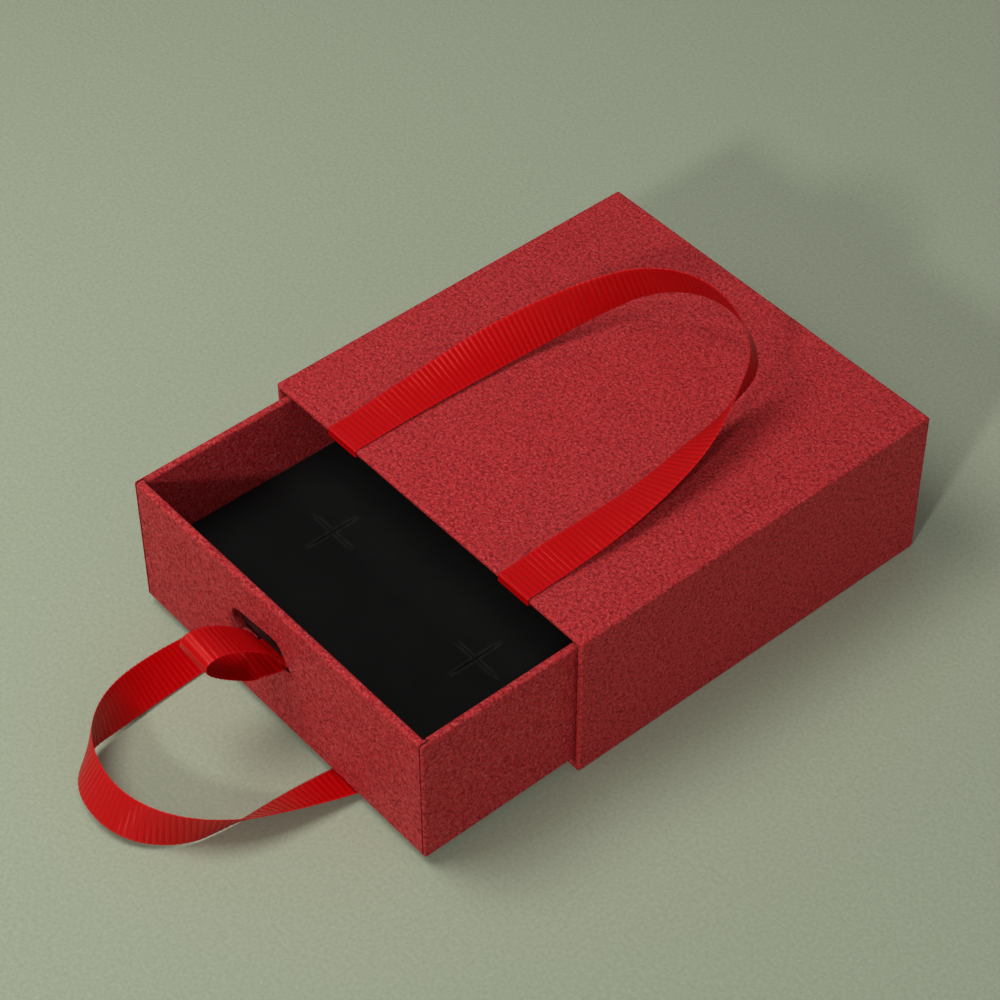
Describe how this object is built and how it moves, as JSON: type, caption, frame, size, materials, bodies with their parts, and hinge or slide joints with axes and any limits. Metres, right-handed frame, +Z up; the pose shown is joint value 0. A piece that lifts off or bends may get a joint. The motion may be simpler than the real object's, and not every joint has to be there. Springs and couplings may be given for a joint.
{
  "type": "sliding drawer gift box",
  "caption": "Rigid square gift box: a sleeve with a sliding drawer, a slotted velvet insert, a ribbon pull at a half-moon slot and ribbon carry handles.",
  "frame": {"origin": "centre of the sleeve's square underside, on the surface that the box stands on", "axes": "+Z up out of the top panel, -Y out of the sleeve's mouth, the way the drawer is drawn out, +X to the right of a viewer who faces the drawer's front"},
  "size_m": [0.1, 0.1862, 0.0587],
  "materials": {
    "greyboard": "uncoated grey bookbinding board",
    "grained_paper": "dark red paper embossed with a leather grain, satin",
    "black_foam": "black soft foam",
    "black_velvet": "black flocked velvet, matte",
    "red_ribbon": "bright red ribbed grosgrain ribbon"
  },
  "bodies": {
    "sleeve": {"sleeve_board_bottom": "greyboard", "sleeve_board_top": "greyboard", "sleeve_board_left": "greyboard", "sleeve_board_right": "greyboard", "sleeve_board_back": "greyboard", "sleeve_cover": "grained_paper", "sleeve_lining": "grained_paper", "sleeve_base_sheet": "grained_paper", "sleeve_back_sheet": "grained_paper", "top_handle_tail_left": "red_ribbon", "top_handle_tail_right": "red_ribbon", "bottom_handle_tail_left": "red_ribbon", "bottom_handle_tail_right": "red_ribbon"},
    "drawer": {"drawer_board_floor": "greyboard", "drawer_board_front": "greyboard", "drawer_board_back": "greyboard", "drawer_board_left": "greyboard", "drawer_board_right": "greyboard", "drawer_cover": "grained_paper", "drawer_front_sheet": "grained_paper", "drawer_floor_liner": "grained_paper", "drawer_base_sheet": "grained_paper", "insert_foam": "black_foam", "insert_velvet": "black_velvet", "pull_ribbon_tails": "red_ribbon", "pull_ribbon_patch": "grained_paper"},
    "top_handle": {"top_handle_loop": "red_ribbon"},
    "bottom_handle": {"bottom_handle_loop": "red_ribbon"},
    "pull_loop": {"pull_ribbon_loop": "red_ribbon"}
  },
  "joints": [
    {"name": "drawer_slide", "type": "slide", "parent": "sleeve", "child": "drawer", "axis": [0, -1, 0], "range_m": [-0.0397, 0.045], "deforming": ["bottom_handle_loop"]},
    {"name": "top_handle_swing", "type": "hinge", "parent": "sleeve", "child": "top_handle", "pos_m": [0, -0.0486, 0.0403], "axis": [1, 0, 0], "range_deg": [0, 150]},
    {"name": "bottom_handle_swing", "type": "hinge", "parent": "sleeve", "child": "bottom_handle", "pos_m": [0, -0.05145, 0.00024], "axis": [1, 0, 0], "range_deg": [0, 150]},
    {"name": "pull_loop_swing", "type": "hinge", "parent": "drawer", "child": "pull_loop", "pos_m": [0, -0.0901, 0.02085], "axis": [1, 0, 0], "range_deg": [-15, 65]}
  ]
}
